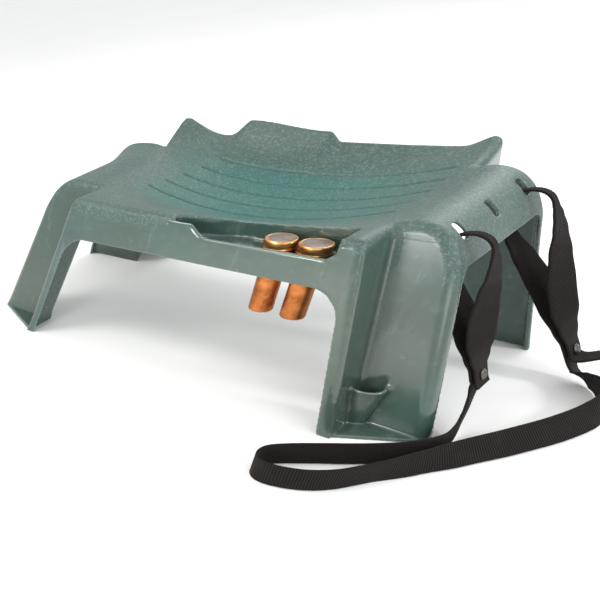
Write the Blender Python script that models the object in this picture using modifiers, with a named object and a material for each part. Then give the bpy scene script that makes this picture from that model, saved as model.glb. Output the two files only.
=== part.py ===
"""Low moulded garden seat with a carry strap and two pegs in its front tray.

Frame: metres, +Z up, X along the seat's length, front towards -Y, left towards -X,
origin on the floor under the middle of the whole outline, strap included.
"""
import math

import bmesh
import bpy
from mathutils import Vector

# ---------------------------------------------------------------- dimensions
# Seat moulding. The plan is a cross: a middle part with front and rear aprons,
# and a shorter part that reaches out to the side panels.
WALL = 0.0034            # wall thickness of the moulding
Z_REF = 0.180            # height at which the plan sizes below are stated
X_MID, X_MID_FOOT = 0.142, 0.179      # half width of the middle part, and at the floor
X_END, X_END_FOOT = 0.188, 0.235      # half width over the side panels
Y_END, Y_END_FOOT = 0.132, 0.156      # half depth over the aprons
Y_MID, Y_MID_FOOT = 0.081, 0.116      # half depth of the side panels
Z_SEAT = 0.145           # lowest point of the dish
DISH_RISE = 0.034        # rise of the dish at the shoulder
X_SHOULDER = 0.150       # where the dish rolls over into the side panel
Z_RIM = 0.141            # rim height of the side panel before it is trimmed
Z_PANEL = 0.145          # lower edge of the side panel
Z_APRON = 0.133          # lower edge of the front and rear aprons
Z_REAR = 0.186           # lowest run of the rear edge
LIP_R = 0.0075           # radius along the top edges
LIP_R_MIN = 0.0030       # least radius left on the cavity
LEG_FLANGE = 0.0085      # width of the return flanges on the legs
APRON_ARCH_R = 0.030     # upper corners of the openings between the legs
PANEL_ARCH_R = 0.012
WING, REAR_WING = 0.020, 0.034        # extra reach of the left wing and rear left corner
FAR = 0.30               # cutters run out to here, clear of the seat

# Grid rows of the top surface between the rounded edges
DISH_X = [-0.130, -0.122, -0.115, -0.108, -0.102, -0.096, -0.090, -0.074, -0.050, -0.026,
          -0.003, 0.0035, 0.010, 0.028, 0.050, 0.075, 0.096, 0.112, 0.121, 0.129]
DISH_Y = [-0.110, -0.096, -0.055, -0.030, -0.008, 0.014, 0.036, 0.055,
          0.092, 0.101, 0.109, 0.117]
LIP_ROWS = (0.0, 0.08, 0.30, 0.62, 1.0)    # rows across a rounded edge, in radii
OUTER_SHOULDER_STEPS, CAVITY_SHOULDER_STEPS = 8, 6
CAVITY_FOOT = -0.012

# Grooves in the dish: y, left end x, right end x
GROOVES = [(-0.022, -0.115, 0.121), (0.005, -0.111, 0.122), (0.032, -0.106, 0.124),
           (0.058, -0.100, 0.125), (0.083, -0.094, 0.126)]
GROOVE_R = 0.0015
GROOVE_LIFT = 0.0002     # centre line of a groove above the surface
GROOVE_POINTS = 17

# Strap slots in each side panel
SLOT_PITCH = 0.060
SLOT_Y = [SLOT_PITCH * k for k in (-1, 0, 1)]
SLOT_ALONG, SLOT_DOWN = 0.0100, 0.0165
SLOT_CUT_DEPTH = 0.030
SLOT_CORNER = 0.0028
SLOT_S = 0.52            # place of the slots down the shoulder, 0 to 1

# Tray in the front apron
TRAY_X0, TRAY_X1 = -0.022, 0.126
TRAY_Y0, TRAY_Y1 = -0.1300, -0.0940
TRAY_FLOOR = 0.1500      # top of the tray floor
TRAY_LIP = 0.1585        # top of the front lip
TRAY_LIP_X0 = 0.002      # left end of the opening above the lip
TRAY_SIDE = 0.004        # material left at the tray's ends
TRAY_BEND_X = 0.026      # where the rear wall turns forward towards the left
# Plan outline of the hollow: x, y
TRAY_OUTLINE = [(TRAY_X0 + 0.004, TRAY_Y0), (TRAY_X1 - 0.003, TRAY_Y0),
                (TRAY_X1, TRAY_Y0 + 0.004), (TRAY_X1, TRAY_Y1 - 0.004),
                (TRAY_X1 - 0.004, TRAY_Y1), (0.044, TRAY_Y1),
                (TRAY_BEND_X, TRAY_Y1 - 0.003), (0.006, -0.1060),
                (TRAY_X0 + 0.004, -0.1170), (TRAY_X0, -0.1225)]
# Block of solid kept round the hollow: x, y
TRAY_BLOCK = [(TRAY_X0 - TRAY_SIDE, -0.160), (TRAY_X1 + TRAY_SIDE, -0.160),
              (TRAY_X1 + TRAY_SIDE, TRAY_Y1 + WALL), (TRAY_BEND_X, TRAY_Y1 + WALL),
              (TRAY_X0 - TRAY_SIDE, -0.1115)]
# Front opening above the lip: x, z
TRAY_OPENING = [(TRAY_LIP_X0, TRAY_LIP + 0.012), (0.012, TRAY_LIP + 0.002),
                (0.020, TRAY_LIP), (TRAY_X1 - 0.006, TRAY_LIP),
                (TRAY_X1, TRAY_LIP + 0.006), (TRAY_X1, FAR), (TRAY_LIP_X0, FAR)]

# Foot webs
WEB_H = 0.0032
WEB_OVERLAP = 0.002      # how far a web runs into the walls at its inner corner
WEB_SETBACK = 0.0015     # how far its tips stop inside the outline

# Half-round pocket in the notch of the front right leg
POCKET_R0, POCKET_R1 = 0.0105, 0.0147      # outer radius at the bottom and top
POCKET_WALL = 0.0019
POCKET_Z = (0.0008, 0.0415)
POCKET_HOLLOW_Z = (0.0103, 0.0492)
POCKET_OFFSET = 0.004    # centre beyond the notch's corner, before the walls splay
POCKET_PUSH = 0.001      # inward move of the centre, left and rearwards
POCKET_SEGMENTS = 28

# Pegs
PEG_X = [0.0735, 0.1020]
PEG_Y = -0.1110
PEG_R, PEG_CAP_R = 0.0103, 0.0134
PEG_HOLE_R = 0.0109
PEG_LEN = 0.062          # shank below the cap
PEG_CAP_H = 0.0125
PEG_FLOOR_GAP = 0.0004
PEG_SOCKET_R, PEG_SOCKET_H = 0.0065, 0.0068      # blind hole under the cap
PEG_SPIGOT_R, PEG_SPIGOT_H = 0.0061, 0.0060      # top of the shank inside it
PEG_SEGMENTS = 32

# Strap
STRAP_W, STRAP_T = 0.024, 0.0022
HALF_FULL, HALF_SLOT = STRAP_W / 2, 0.0041       # half width when flat, and in a slot
LAYER = 0.0015           # half distance between the two layers at a rivet
LOOP_CLEARANCE = 0.0044  # loop radius beyond the half height of the panel's lower bar
RIVET_FRONT = Vector((0.2335, SLOT_Y[0], 0.0500))
RIVET_REAR = Vector((0.2640, SLOT_Y[2], 0.0320))
TWIST = math.radians(28)
RUN_STATIONS = (0.0, 0.06, 0.16, 0.30, 0.48, 0.66, 0.80, 0.90, 0.96)   # rivet to bar
TURN_STEPS = 10
FLOOR_GAP = 0.0003
RIVET_R, RIVET_SHANK_R, RIVET_HOLE_R = 0.0050, 0.0020, 0.0024
RIVET_SEGMENTS = 20

# Run of the webbing between its loops.
# Down and forward from the front rivet: place, width direction, width factor
STRAP_DOWN = [
    ((0.2352, -0.0622, 0.0385), (0, 0.97, -0.22), 0.94),
    ((0.2385, -0.0700, 0.0275), (0, 0.84, -0.54), 0.82),
    ((0.2420, -0.0850, 0.0180), (0, 0.62, -0.78), 0.80),
    ((0.2450, -0.1060, 0.0132), (0.08, 0.30, -0.95), 0.90)]
# On the floor, standing on its edge: x, y
STRAP_FLOOR = [
    (0.2425, -0.1300), (0.2290, -0.1560), (0.2090, -0.1790), (0.1870, -0.2000),
    (0.1680, -0.2190), (0.1580, -0.2330), (0.1575, -0.2460), (0.1650, -0.2540),
    (0.1780, -0.2530), (0.1960, -0.2430), (0.2120, -0.2250), (0.2270, -0.1960)]
# Back towards the rear rivet: place, width direction, width factor
STRAP_BACK = [
    ((0.2430, -0.1620, 0.0110), (0.32, 0.12, -0.90), 0.97),
    ((0.2590, -0.1240, 0.0088), (0.62, 0.20, -0.72), 0.97),
    ((0.2760, -0.0840, 0.0078), (0.74, 0.26, -0.60), 0.97),
    ((0.2910, -0.0460, 0.0080), (0.74, 0.20, -0.62), 0.97),
    ((0.3010, -0.0120, 0.0090), (0.66, 0.00, -0.74), 0.97),
    ((0.3030, 0.0140, 0.0100), (0.40, 0.05, -0.88), 0.97),
    ((0.2970, 0.0350, 0.0105), (0.10, 0.30, -0.90), 0.97),
    ((0.2860, 0.0500, 0.0100), (-0.10, 0.60, -0.55), 0.97),
    ((0.2740, 0.0585, 0.0130), (-0.05, 0.95, -0.20), 0.97)]

# The sizes above are about the middle of the seat; the finished part is moved by
# this so that its origin is under the middle of its outline, strap included.
SHIFT = Vector((-0.01747, 0.04988, 0.0))

UP = Vector((0.0, 0.0, 1.0))
ACROSS = Vector((0.0, 1.0, 0.0))      # width direction of the flat webbing

# ------------------------------------------------------------ scene and helpers
for old in list(bpy.data.objects):
    bpy.data.objects.remove(old, do_unlink=True)
for old in list(bpy.data.collections):
    bpy.data.collections.remove(old)

parts = bpy.data.collections.new("garden_kneeler_seat")
cutters = bpy.data.collections.new("cutters")
bpy.context.scene.collection.children.link(parts)
bpy.context.scene.collection.children.link(cutters)


def material(name, colour, roughness, metallic=0.0):
    mat = bpy.data.materials.new(name)
    mat.use_nodes = True
    shader = mat.node_tree.nodes["Principled BSDF"]
    shader.inputs["Base Color"].default_value = (*colour, 1.0)
    shader.inputs["Roughness"].default_value = roughness
    shader.inputs["Metallic"].default_value = metallic
    return mat


def mesh_object(name, bm, col=cutters):
    mesh = bpy.data.meshes.new(name)
    bmesh.ops.recalc_face_normals(bm, faces=bm.faces)
    bm.to_mesh(mesh)
    bm.free()
    ob = bpy.data.objects.new(name, mesh)
    col.objects.link(ob)
    return ob


def move(ob, col):
    for old_col in list(ob.users_collection):
        old_col.objects.unlink(ob)
    col.objects.link(ob)


def boolean(ob, tool, operation='DIFFERENCE'):
    mod = ob.modifiers.new(operation.lower() + "_" + tool.name, 'BOOLEAN')
    mod.operation = operation
    mod.solver = 'EXACT'
    mod.object = tool


def bake(ob):
    """Apply the modifiers by taking the evaluated mesh."""
    depsgraph = bpy.context.evaluated_depsgraph_get()
    depsgraph.update()
    mesh = bpy.data.meshes.new_from_object(ob.evaluated_get(depsgraph))
    ob.modifiers.clear()
    ob.data = mesh


def cylinder(name, r_bottom, r_top, z_bottom, z_top, x, y, segments):
    bpy.ops.mesh.primitive_cone_add(vertices=segments, radius1=r_bottom, radius2=r_top,
                                    depth=z_top - z_bottom,
                                    location=(x, y, (z_bottom + z_top) / 2))
    ob = bpy.context.object
    ob.name = name
    bpy.ops.object.transform_apply(location=True, rotation=True, scale=True)
    move(ob, cutters)
    return ob


def prism(name, outline, axis, low, high):
    """Closed outline (pairs) pushed along an axis; pairs are the other two axes."""
    def place(pair, along):
        a, b = pair
        return {"x": (along, a, b), "y": (a, along, b), "z": (a, b, along)}[axis]

    bm = bmesh.new()
    face = bm.faces.new([bm.verts.new(place(pair, low)) for pair in outline])
    extruded = bmesh.ops.extrude_face_region(bm, geom=[face])["geom"]
    bmesh.ops.translate(bm, vec=place((0, 0), high - low),
                        verts=[v for v in extruded if isinstance(v, bmesh.types.BMVert)])
    return mesh_object(name, bm)


def turned(name, profile, location, mat, segments, axis=None):
    """Profile of (radius, height) from the bottom axis point up to the top one."""
    mesh = bpy.data.meshes.new(name)
    mesh.from_pydata([(r, 0.0, height) for r, height in reversed(profile)],
                     [(i, i + 1) for i in range(len(profile) - 1)], [])
    mesh.materials.append(mat)
    ob = bpy.data.objects.new(name, mesh)
    parts.objects.link(ob)
    mod = ob.modifiers.new("turn", 'SCREW')
    mod.steps = mod.render_steps = segments
    mod.use_merge_vertices = True
    mod.merge_threshold = 0.00005
    mod.use_smooth_shade = True
    ob.location = location
    if axis is not None:
        ob.rotation_mode = 'QUATERNION'
        ob.rotation_quaternion = UP.rotation_difference(axis)


# ------------------------------------------------ the form of the seat moulding
def ease(start, end, value):
    """Smooth step from 0 at start to 1 at end."""
    t = min(1.0, max(0.0, (value - start) / (end - start)))
    return t * t * (3 - 2 * t)


def reach(x, y):
    """The left wing is longer than the right one, most of all towards the rear."""
    rear = ease(0.100, X_MID, -x) * ease(0.0, Y_END, y)
    return -WING * ease(X_MID, 0.172, -x) - REAR_WING * rear


def splay(x, y, z):
    """Plan position at Z_REF to its place at height z, along the splayed walls."""
    def flare(value, mid, end, mid_foot, end_foot):
        sign, value = (1, value) if value >= 0 else (-1, -value)
        if value <= mid:
            foot = value * mid_foot / mid
        else:
            foot = mid_foot + (value - mid) * (end_foot - mid_foot) / (end - mid)
        return sign * (foot + (value - foot) * z / Z_REF)
    return (flare(x, X_MID, X_END, X_MID_FOOT, X_END_FOOT) + reach(x, y),
            flare(y, Y_MID, Y_END, Y_MID_FOOT, Y_END_FOOT), z)


def rear_edge(x):
    """Height of the rear edge, left to right: corner, dip, tab, low run, corner."""
    z = Z_REAR
    z += 0.024 * (1 - ease(-0.142, -0.110, x))
    z += (0.022 - 0.010 * ease(-0.090, -0.004, x)) * (
        ease(-0.108, -0.091, x) - ease(-0.003, 0.010, x))
    z += 0.013 * ease(0.113, 0.139, x)
    return z


def dish(x, y=0.0):
    """The dish is deepest over the middle and flattens out at the front edge."""
    bowl = (min(abs(x), X_SHOULDER) / X_SHOULDER) ** 2
    flat = 0.85 * ease(0.020, Y_END - 0.004, -y)
    return Z_SEAT + DISH_RISE * (bowl + (1 - bowl) * flat)


def seat_top(x, y):
    """Dish height with a broad rise to the rear and a steep one at the rear edge."""
    z = dish(x, y)
    t = min(1.0, max(0.0, (y - 0.005) / (Y_END - 0.005)))
    lift = rear_edge(x) - z
    broad = 0.80 * (Z_REAR + 0.010 * ease(0.07, 0.14, abs(x)) - z)
    return z + broad * t ** 1.9 + (lift - broad) * t ** 7


def shoulder(s):
    """Point and normal (x, z) from the shoulder (s=0) down to the panel rim (s=1)."""
    p0 = Vector((X_SHOULDER, dish(X_SHOULDER)))
    p3 = Vector((X_END, Z_RIM))
    p1 = p0 + Vector((0.024, 0.0065))
    p2 = p3 + Vector((-0.002, 0.026))
    a, b, c, d = (1 - s) ** 3, 3 * s * (1 - s) ** 2, 3 * s * s * (1 - s), s ** 3
    point = p0 * a + p1 * b + p2 * c + p3 * d
    along = (p1 - p0) * (1 - s) ** 2 + (p2 - p1) * 2 * s * (1 - s) + (p3 - p2) * s * s
    return point, Vector((-along.y, along.x)).normalized()


def top_point(side, station, y):
    """x, z and normal of the top; station is x on the dish (side 0), else s."""
    if side == 0:
        normal = Vector((0.0, 1.0))
        if abs(station) > X_SHOULDER - 1e-9:
            edge_normal = shoulder(0)[1]
            normal = Vector((math.copysign(edge_normal.x, station), edge_normal.y))
        return station, seat_top(station, y), normal
    point, normal = shoulder(station)
    lift = seat_top(side * X_SHOULDER, y) - dish(X_SHOULDER)
    return (side * point.x, point.y + lift * (1 - station) ** 1.5,
            Vector((side * normal.x, normal.y)))


def plan_inset(x, y, mid_x, mid_y, end_y):
    """Distance inside the cross-shaped plan (the panel rims do not count)."""
    x, y = abs(x), abs(y)
    if y > mid_y:
        return min(mid_x - x, end_y - y)
    if x >= mid_x:
        return mid_y - y
    return min(end_y - y, math.hypot(mid_x - x, mid_y - y))


def lip_rows(edge, radius):
    """Grid rows across the rounded edges at +edge and -edge."""
    return [side * (edge - radius * k) for side in (1, -1) for k in LIP_ROWS]


def close_walls(bm, plan, z_foot):
    """Run walls from the open rim down to z_foot and close the bottom."""
    rim = [e for e in bm.edges if len(e.link_faces) == 1]
    foot = {}
    for edge in rim:
        for v in edge.verts:
            if v not in foot:
                foot[v] = bm.verts.new(splay(*plan[v], z_foot))
    following = {}
    for edge in rim:
        a, b = edge.link_loops[0].vert, edge.link_loops[0].link_loop_next.vert
        bm.faces.new((b, a, foot[a], foot[b]))
        following[foot[a]] = foot[b]
    start = next(iter(following))
    bottom, v = [start], following[start]
    while v is not start:
        bottom.append(v)
        v = following[v]
    bm.faces.new(bottom)


def drape(name, inset, z_foot, steps):
    """Closed body: the seat's top surface with its walls run down to z_foot."""
    mid_x, mid_y, end_y = X_MID - inset, Y_MID - inset, Y_END - inset
    radius = max(LIP_R - inset, LIP_R_MIN)
    xs = sorted(set(lip_rows(mid_x, radius) + DISH_X + [X_SHOULDER, -X_SHOULDER]))
    ys = sorted(set(lip_rows(end_y, radius) + lip_rows(mid_y, radius) + DISH_Y))
    columns = ([(-1, k / steps) for k in range(steps, 0, -1)] + [(0, x) for x in xs]
               + [(1, k / steps) for k in range(1, steps + 1)])
    bm = bmesh.new()
    plan = {}            # vertex to its plan position, for the foot of the walls
    grid = []
    for side, station in columns:
        row = []
        for y in ys:
            x, z, normal = top_point(side, station, y)
            inside = plan_inset(x, y, mid_x, mid_y, end_y)
            drop = inset
            if inside < radius:
                across = radius - max(inside, 0.0)
                drop += radius - math.sqrt(max(0.0, radius * radius - across ** 2))
            x -= normal.x * drop
            z -= normal.y * drop
            v = bm.verts.new(splay(x, y, z))
            plan[v] = (x, y)
            row.append(v)
        grid.append(row)
    for i in range(len(columns) - 1):
        (side_a, a), (side_b, b) = columns[i], columns[i + 1]
        outer = side_a != 0 or side_b != 0 or max(abs(a), abs(b)) > mid_x + 1e-6
        for j in range(len(ys) - 1):
            # leave the four notches of the cross open
            if outer and max(abs(ys[j]), abs(ys[j + 1])) > mid_y + 1e-6:
                continue
            bm.faces.new((grid[i][j], grid[i + 1][j],
                          grid[i + 1][j + 1], grid[i][j + 1]))
    for v in [v for v in bm.verts if not v.link_faces]:
        plan.pop(v)
        bm.verts.remove(v)
    close_walls(bm, plan, z_foot)
    return mesh_object(name, bm)


# --------------------------------------------------------------- seat moulding
def hollow_shell():
    seat = drape("seat_outer", 0.0, 0.0, OUTER_SHOULDER_STEPS)
    cavity = drape("seat_cavity", WALL, CAVITY_FOOT, CAVITY_SHOULDER_STEPS)
    # the tray is a box let into the apron, so the cavity is kept clear of it
    boolean(cavity, prism("tray_keep", TRAY_BLOCK, "z", TRAY_FLOOR - WALL, FAR))
    bake(cavity)
    seat.name = "seat_body"
    boolean(seat, cavity)
    return seat


def portal(half, half_foot, z_top, radius):
    """Trapezoid opening with large upper corners, open at the floor."""
    def half_width(z):
        return half_foot + (half - half_foot) * z / Z_REF

    z_low = -0.02
    steps = 7
    z_corner = z_top - radius
    lean = (half_width(z_corner) - half_width(z_corner - 0.01)) / 0.01
    x_corner = half_width(z_corner) - radius
    points = [(half_width(z_low), z_low)]
    for k in range(steps + 1):
        angle = math.pi / 2 * k / steps
        x = (x_corner + radius * math.cos(angle)
             + lean * radius * math.sin(angle) * 0.5 * (1 - k / steps))
        points.append((x, z_corner + radius * math.sin(angle)))
    return points + [(-x, z) for x, z in reversed(points)]


def cut_portals(seat):
    """Openings that leave four flanged legs."""
    outline = portal(X_MID - WALL - LEG_FLANGE, X_MID_FOOT - WALL - LEG_FLANGE,
                     Z_APRON, APRON_ARCH_R)
    boolean(seat, prism("portal_front_rear", outline, "y", -FAR, FAR))
    outline = portal(Y_MID - WALL - LEG_FLANGE, Y_MID_FOOT - WALL - LEG_FLANGE,
                     Z_PANEL, PANEL_ARCH_R)
    for side, low, high in (("left", -0.40, -0.158), ("right", 0.158, 0.40)):
        boolean(seat, prism("portal_" + side, outline, "x", low, high))


def cut_tray(seat):
    """Tray open at the front above its lip, narrower towards the left, two holes."""
    boolean(seat, prism("tray_cut", TRAY_OUTLINE, "z", TRAY_FLOOR, FAR))
    boolean(seat, prism("tray_lip_cut", TRAY_OPENING, "y", -0.20, TRAY_Y0 + 0.001))
    for i, x in enumerate(PEG_X):
        boolean(seat, cylinder("peg_hole_%d" % i, PEG_HOLE_R, PEG_HOLE_R, 0.13, 0.17,
                               x, PEG_Y, segments=40))


def cut_slots(seat):
    """Strap slots, square to the slope of the side panels."""
    point, normal = shoulder(SLOT_S)
    for side, letter in ((-1, "L"), (1, "R")):
        for i, y in enumerate(SLOT_Y):
            bm = bmesh.new()
            bmesh.ops.create_cube(bm, size=1.0)
            bmesh.ops.scale(bm, vec=(SLOT_CUT_DEPTH, SLOT_ALONG, SLOT_DOWN), verts=bm.verts)
            long_edges = [e for e in bm.edges
                          if abs(e.verts[0].co.x - e.verts[1].co.x) > 0.01]
            bmesh.ops.bevel(bm, geom=long_edges, offset=SLOT_CORNER, segments=2,
                            affect='EDGES', profile=0.5)
            ob = mesh_object("slot_%s_%d" % (letter, i), bm)
            ob.location = (splay(side * point.x, y, point.y)[0], y, point.y)
            ob.rotation_euler = (0, -side * math.atan2(normal.y, normal.x), 0)
            boolean(seat, ob)


def groove_cutter(name, y, left, right):
    """Round bar that follows the dish."""
    curve = bpy.data.curves.new(name, 'CURVE')
    curve.dimensions = '3D'
    curve.bevel_depth = GROOVE_R
    curve.bevel_resolution = 1
    curve.use_fill_caps = True
    spline = curve.splines.new('POLY')
    spline.points.add(GROOVE_POINTS - 1)
    for k in range(GROOVE_POINTS):
        x = left + (right - left) * k / (GROOVE_POINTS - 1)
        spline.points[k].co = (*splay(x, y, seat_top(x, y) + GROOVE_LIFT), 1.0)
    curve_ob = bpy.data.objects.new("groove_curve", curve)
    bpy.context.scene.collection.objects.link(curve_ob)
    depsgraph = bpy.context.evaluated_depsgraph_get()
    mesh = bpy.data.meshes.new_from_object(curve_ob.evaluated_get(depsgraph))
    bm = bmesh.new()
    bm.from_mesh(mesh)
    bmesh.ops.remove_doubles(bm, verts=bm.verts, dist=1e-5)
    bpy.data.objects.remove(curve_ob, do_unlink=True)
    return mesh_object(name, bm)


def add_foot_webs(seat):
    """Floor-level triangle across the notch outside each leg."""
    mid_x, mid_y = X_MID - WEB_OVERLAP, Y_MID - WEB_OVERLAP
    for sx in (-1, 1):
        for sy in (-1, 1):
            corners = [splay(sx * x, sy * y, 0.0)[:2]
                       for x, y in ((mid_x, mid_y), (mid_x, Y_END - WEB_SETBACK),
                                    (X_END - WEB_SETBACK, mid_y))]
            web = prism("foot_web_%d_%d" % (sx, sy), corners, "z", 0.0, WEB_H)
            boolean(seat, web, 'UNION')


def add_pocket(seat):
    """Tapered pocket, trimmed to the outside of the front right leg."""
    x, y, _ = splay(X_MID + POCKET_OFFSET, -(Y_MID + POCKET_OFFSET), 0.02)
    x, y = x - POCKET_PUSH, y + POCKET_PUSH
    outer = cylinder("pocket_outer", POCKET_R0, POCKET_R1, *POCKET_Z, x, y,
                     POCKET_SEGMENTS)
    inner = cylinder("pocket_inner", POCKET_R0 - POCKET_WALL, POCKET_R1 - POCKET_WALL,
                     *POCKET_HOLLOW_Z, x, y, POCKET_SEGMENTS)
    wall_x, wall_y = X_MID - 0.001, -(Y_MID - 0.001)
    far_x, far_y = 0.26, -0.20
    keep = prism("pocket_side",
                 [splay(wall_x, wall_y, 0.03)[:2], (far_x, wall_y - 0.012),
                  (far_x, far_y), (splay(wall_x, 0, 0.03)[0], far_y)], "z", -0.01, 0.10)
    for body in (outer, inner):
        boolean(body, keep, 'INTERSECT')
        bake(body)
    boolean(seat, outer, 'UNION')
    boolean(seat, inner)


def build_seat():
    seat = hollow_shell()
    cut_portals(seat)
    cut_tray(seat)
    cut_slots(seat)
    for i, (y, left, right) in enumerate(GROOVES):
        boolean(seat, groove_cutter("groove_%d" % i, y, left, right))
    bake(seat)
    add_foot_webs(seat)
    add_pocket(seat)
    bake(seat)
    move(seat, parts)
    seat.data.materials.clear()
    seat.data.materials.append(
        material("seat_green", colour=(0.085, 0.165, 0.145), roughness=0.42))


# ------------------------------------------------------------------- the pegs
def build_pegs():
    copper = material("peg_copper", colour=(0.52, 0.25, 0.10), roughness=0.32,
                      metallic=0.85)
    brass = material("peg_cap_brass", colour=(0.60, 0.36, 0.18), roughness=0.28,
                     metallic=0.9)
    r, top = PEG_CAP_R, PEG_CAP_H
    cap = [(0.0, PEG_SOCKET_H), (PEG_SOCKET_R, PEG_SOCKET_H), (PEG_SOCKET_R, 0.0),
           (r - 0.0010, 0.0), (r, 0.0009), (r, 0.0042), (r - 0.0007, 0.0052),
           (r - 0.0007, 0.0068), (r, 0.0078), (r, top - 0.0012), (r - 0.0010, top),
           (r - 0.0026, top), (r - 0.0032, top - 0.0005), (0.0, top - 0.0005)]
    r, low = PEG_R, -PEG_LEN
    shank = [(0.0, low + 0.0012), (r - 0.0030, low + 0.0012), (r - 0.0024, low),
             (r - 0.0010, low), (r - 0.0002, low + 0.0010), (r, low + 0.0030),
             (r, -0.0016), (r - 0.0012, -0.0004), (PEG_SPIGOT_R, -0.0004),
             (PEG_SPIGOT_R, PEG_SPIGOT_H), (0.0, PEG_SPIGOT_H)]
    for side, x in zip(("left", "right"), PEG_X):
        place = (x, PEG_Y, TRAY_FLOOR + PEG_FLOOR_GAP)
        turned("peg_%s_cap" % side, cap, place, brass, PEG_SEGMENTS)
        turned("peg_%s_shank" % side, shank, place, copper, PEG_SEGMENTS)


# ------------------------------------------------------------------ the strap
def panel_bar():
    """Centre and half height of the right panel's bar, below the slots."""
    slot_point, _ = shoulder(SLOT_S)
    slot_centre = Vector(splay(slot_point.x, 0.0, slot_point.y))
    edge = Vector(splay(X_END, 0.0, Z_PANEL))
    down = (edge - slot_centre).normalized()
    slot_low = slot_centre + down * (SLOT_DOWN / 2)
    centre = (slot_low + edge) / 2 - Vector((WALL / 2 * -down.z, 0, WALL / 2 * down.x))
    return centre, (edge - slot_low).length / 2


BAR, BAR_HALF = panel_bar()
LOOP_R = BAR_HALF + LOOP_CLEARANCE    # radius of the webbing round the bar


def strap_loop(rivet):
    """Keys from the rivet up, round the bar and back; direction down; normal.

    A key is (point, width direction, half width). The normal points away from
    the seat.
    """
    centre = Vector((BAR.x, rivet.y, BAR.z))
    down = (rivet - centre).normalized()
    normal = Vector((-down.z, 0.0, down.x))
    outer, inner = [], []
    for k in RUN_STATIONS:
        half = HALF_FULL + (HALF_SLOT - HALF_FULL) * ease(0.84, 1.0, k)
        twist = TWIST * ease(0.04, 0.32, k) * (1 - ease(0.50, 0.90, k))
        width = ACROSS * math.cos(twist) + normal * math.sin(twist)
        facing = normal * math.cos(twist) - ACROSS * math.sin(twist)
        offset = LAYER + (LOOP_R - LAYER) * ease(0.06, 1.02, k) ** 0.85
        middle = rivet + (centre - rivet) * k
        point = middle + facing * offset
        outer.append((point, width, half))
        inner.append((middle * 2 - point, width, half))
    start = math.atan2(normal.z, normal.x)
    turn = []
    for k in range(TURN_STEPS + 1):
        angle = start + math.pi * k / TURN_STEPS
        spoke = Vector((math.cos(angle), 0.0, math.sin(angle)))
        turn.append((centre + LOOP_R * spoke, ACROSS, HALF_SLOT))
    return outer + turn + inner[::-1], down, normal


def table_keys(table):
    return [(Vector(place), Vector(width), HALF_FULL * factor)
            for place, width, factor in table]


def strap_keys():
    """Keys along the whole webbing, and the normals at the two rivets."""
    front_loop, down, front_normal = strap_loop(RIVET_FRONT)
    # free end below the front rivet, then the loop from its outer run
    keys = [(RIVET_FRONT + down * 0.0105 + front_normal * (LAYER + 0.0006),
             ACROSS, HALF_FULL),
            (RIVET_FRONT + down * 0.0060 + front_normal * LAYER, ACROSS, HALF_FULL)]
    keys += front_loop
    keys.append((RIVET_FRONT + down * 0.0060 - front_normal * LAYER, ACROSS, HALF_FULL))
    keys += table_keys(STRAP_DOWN)
    keys += [(Vector((x, y, HALF_FULL + 0.0006)), -UP, HALF_FULL) for x, y in STRAP_FLOOR]
    keys += table_keys(STRAP_BACK)
    # rear loop the other way round, ending in a free tail
    rear_loop, down, rear_normal = strap_loop(RIVET_REAR)
    keys.append((RIVET_REAR + down * 0.0066 - rear_normal * LAYER, ACROSS, HALF_FULL))
    keys += rear_loop[::-1]
    keys += [(RIVET_REAR + down * along + rear_normal * out, ACROSS, HALF_FULL)
             for along, out in ((0.0062, LAYER), (0.0092, 0.0068), (0.0080, 0.0200))]
    return keys, front_normal, rear_normal


def ribbon_sections(keys):
    """Catmull-Rom through the keys, three steps to a long span, one to a short."""
    sections = []
    last = len(keys) - 1
    for i in range(last):
        p0, p1 = keys[max(i - 1, 0)][0], keys[i][0]
        p2, p3 = keys[i + 1][0], keys[min(i + 2, last)][0]
        _, width, half = keys[i]
        _, next_width, next_half = keys[i + 1]
        steps = 3 if (p2 - p1).length > 0.007 else 1
        for j in range(steps):
            t = j / steps
            point = 0.5 * ((2 * p1) + (p2 - p0) * t
                           + (2 * p0 - 5 * p1 + 4 * p2 - p3) * t * t
                           + (3 * p1 - p0 - 3 * p2 + p3) * t ** 3)
            sections.append((point, width.lerp(next_width, t).normalized(),
                             half + (next_half - half) * t))
    sections.append(keys[-1])
    return sections


def ribbon(name, sections, mat):
    """Rectangular band of the strap's thickness, kept off the floor."""
    bm = bmesh.new()
    rings = []
    for i, (point, width, half) in enumerate(sections):
        before = sections[max(i - 1, 0)][0]
        after = sections[min(i + 1, len(sections) - 1)][0]
        along = (after - before).normalized()
        width = (width - along * width.dot(along)).normalized()
        normal = along.cross(width)
        low = point.z - abs(width.z) * half - abs(normal.z) * STRAP_T / 2
        point = point + Vector((0.0, 0.0, max(0.0, FLOOR_GAP - low)))
        rings.append([bm.verts.new(point + width * half * sw + normal * STRAP_T / 2 * sn)
                      for sw, sn in ((-1, -1), (1, -1), (1, 1), (-1, 1))])
    for r0, r1 in zip(rings, rings[1:]):
        for k in range(4):
            bm.faces.new((r0[k], r0[(k + 1) % 4], r1[(k + 1) % 4], r1[k]))
    bm.faces.new(rings[0][::-1])
    bm.faces.new(rings[-1])
    ob = mesh_object(name, bm, parts)
    ob.data.materials.append(mat)
    ob.data.shade_smooth()
    ob.data.set_sharp_from_angle(angle=math.radians(38))
    return ob


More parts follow.
